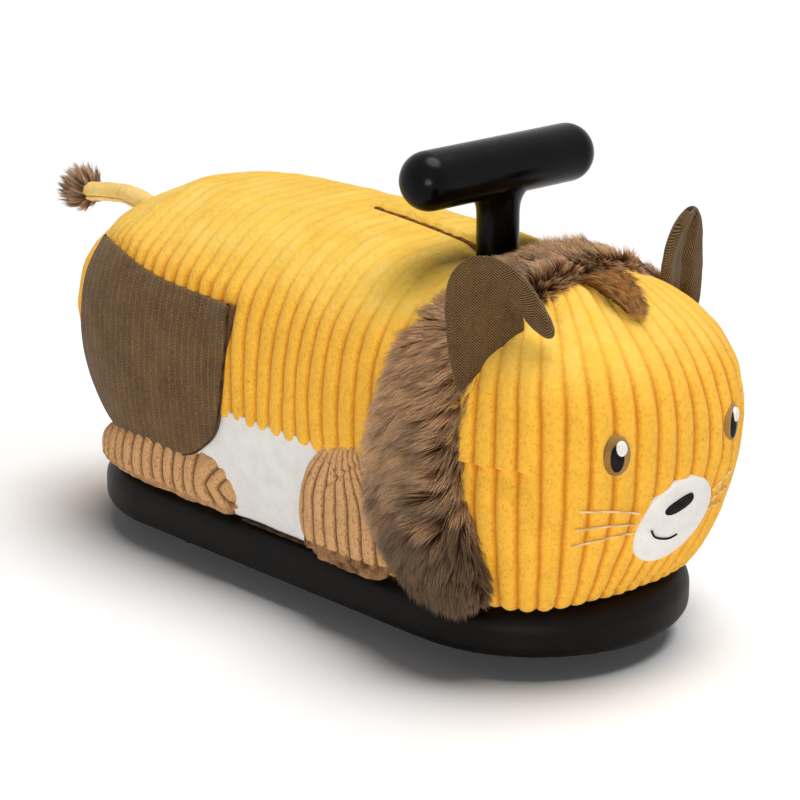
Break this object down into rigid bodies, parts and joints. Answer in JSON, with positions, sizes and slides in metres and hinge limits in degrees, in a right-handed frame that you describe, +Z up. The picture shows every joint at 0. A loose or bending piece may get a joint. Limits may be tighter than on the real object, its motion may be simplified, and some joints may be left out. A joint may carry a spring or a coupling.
{
  "type": "soft ride-on toy",
  "caption": "Soft ride-on toy: a stuffed animal body and head on a long rounded platform with a soft rim, swivelling casters underneath and an upright T-shaped grip.",
  "frame": {"origin": "centre of the bounding box on the floor: midway between the muzzle and the tail tuft, on the plane the wheels stand on", "axes": "-Y points forward, the way the face looks; +X is the toy's left side; +Z is up"},
  "size_m": [0.255, 0.6636, 0.3365],
  "materials": {
    "black_rubber": "satin moulded rim and wheel treads",
    "black_plastic": "satin, softly reflecting grip; plain platform plate",
    "grey_nylon": "moulded caster forks and sockets",
    "zinc_steel": "zinc-plated pins, screws and tube",
    "yellow_corduroy": "wide-wale plush corduroy, wales 12 mm apart",
    "brown_corduroy": "wide-wale plush corduroy",
    "olive_linen": "woven cloth with fine pinstripes on the pockets and twill on the ears",
    "brown_fur": "long brushed pile with paler tips",
    "white_velboa": "smooth short pile",
    "black_thread": "satin stitch",
    "foam": "open-cell upholstery foam"
  },
  "bodies": {
    "toy": {"base_rim": "black_rubber", "base_plate": "black_plastic", "caster_front_left_socket": "grey_nylon", "caster_front_left_pin": "zinc_steel", "caster_front_right_socket": "grey_nylon", "caster_front_right_pin": "zinc_steel", "caster_rear_left_socket": "grey_nylon", "caster_rear_left_pin": "zinc_steel", "caster_rear_right_socket": "grey_nylon", "caster_rear_right_pin": "zinc_steel", "handle_grip": "black_plastic", "handle_post": "zinc_steel", "handle_flange": "zinc_steel", "flange_screw_1": "zinc_steel", "flange_screw_2": "zinc_steel", "flange_screw_3": "zinc_steel", "flange_screw_4": "zinc_steel", "handle_cross_bolt": "zinc_steel", "torso_foam": "foam", "torso_cover": "yellow_corduroy", "belly_panel_right": "white_velboa", "belly_panel_left": "white_velboa", "head_foam": "foam", "head_cover": "yellow_corduroy", "side_pocket_right": "olive_linen", "side_pocket_left": "olive_linen", "rear_leg_right": "brown_corduroy", "rear_leg_left": "brown_corduroy", "front_leg_right": "brown_corduroy", "front_leg_left": "brown_corduroy", "mane": "brown_fur", "muzzle_patch": "white_velboa", "nose_patch": "black_thread", "eye_right": "black_thread", "eye_left": "black_thread", "ear_right": "olive_linen", "ear_left": "olive_linen", "tail": "yellow_corduroy", "tail_tuft": "brown_fur", "forelock": "brown_fur"},
    "caster_front_left": {"caster_front_left_fork": "grey_nylon", "caster_front_left_axle": "zinc_steel"},
    "caster_front_right": {"caster_front_right_fork": "grey_nylon", "caster_front_right_axle": "zinc_steel"},
    "caster_rear_left": {"caster_rear_left_fork": "grey_nylon", "caster_rear_left_axle": "zinc_steel"},
    "caster_rear_right": {"caster_rear_right_fork": "grey_nylon", "caster_rear_right_axle": "zinc_steel"},
    "wheel_front_left_a": {"caster_front_left_wheel_a": "black_rubber"},
    "wheel_front_left_b": {"caster_front_left_wheel_b": "black_rubber"},
    "wheel_front_right_a": {"caster_front_right_wheel_a": "black_rubber"},
    "wheel_front_right_b": {"caster_front_right_wheel_b": "black_rubber"},
    "wheel_rear_left_a": {"caster_rear_left_wheel_a": "black_rubber"},
    "wheel_rear_left_b": {"caster_rear_left_wheel_b": "black_rubber"},
    "wheel_rear_right_a": {"caster_rear_right_wheel_a": "black_rubber"},
    "wheel_rear_right_b": {"caster_rear_right_wheel_b": "black_rubber"}
  },
  "joints": [
    {"name": "swivel_front_left", "type": "hinge", "parent": "toy", "child": "caster_front_left", "pos_m": [0.037, -0.22893, 0.03], "axis": [0, 0, 1], "continuous": true},
    {"name": "swivel_front_right", "type": "hinge", "parent": "toy", "child": "caster_front_right", "pos_m": [-0.037, -0.22893, 0.03], "axis": [0, 0, 1], "continuous": true},
    {"name": "swivel_rear_left", "type": "hinge", "parent": "toy", "child": "caster_rear_left", "pos_m": [0.052, 0.09807, 0.03], "axis": [0, 0, 1], "continuous": true},
    {"name": "swivel_rear_right", "type": "hinge", "parent": "toy", "child": "caster_rear_right", "pos_m": [-0.052, 0.09807, 0.03], "axis": [0, 0, 1], "continuous": true},
    {"name": "roll_front_left_a", "type": "hinge", "parent": "caster_front_left", "child": "wheel_front_left_a", "pos_m": [0.03255, -0.24115, 0.016], "axis": [-0.9397, 0.342, 0], "continuous": true},
    {"name": "roll_front_left_b", "type": "hinge", "parent": "caster_front_left", "child": "wheel_front_left_b", "pos_m": [0.03255, -0.24115, 0.016], "axis": [-0.9397, 0.342, 0], "continuous": true},
    {"name": "roll_front_right_a", "type": "hinge", "parent": "caster_front_right", "child": "wheel_front_right_a", "pos_m": [-0.02864, -0.21897, 0.016], "axis": [0.766, -0.6428, 0], "continuous": true},
    {"name": "roll_front_right_b", "type": "hinge", "parent": "caster_front_right", "child": "wheel_front_right_b", "pos_m": [-0.02864, -0.21897, 0.016], "axis": [0.766, -0.6428, 0], "continuous": true},
    {"name": "roll_rear_left_a", "type": "hinge", "parent": "caster_rear_left", "child": "wheel_rear_left_a", "pos_m": [0.05536, 0.11063, 0.016], "axis": [0.9659, -0.2588, 0], "continuous": true},
    {"name": "roll_rear_left_b", "type": "hinge", "parent": "caster_rear_left", "child": "wheel_rear_left_b", "pos_m": [0.05536, 0.11063, 0.016], "axis": [0.9659, -0.2588, 0], "continuous": true},
    {"name": "roll_rear_right_a", "type": "hinge", "parent": "caster_rear_right", "child": "wheel_rear_right_a", "pos_m": [-0.05946, 0.08742, 0.016], "axis": [-0.8192, 0.5736, 0], "continuous": true},
    {"name": "roll_rear_right_b", "type": "hinge", "parent": "caster_rear_right", "child": "wheel_rear_right_b", "pos_m": [-0.05946, 0.08742, 0.016], "axis": [-0.8192, 0.5736, 0], "continuous": true}
  ]
}
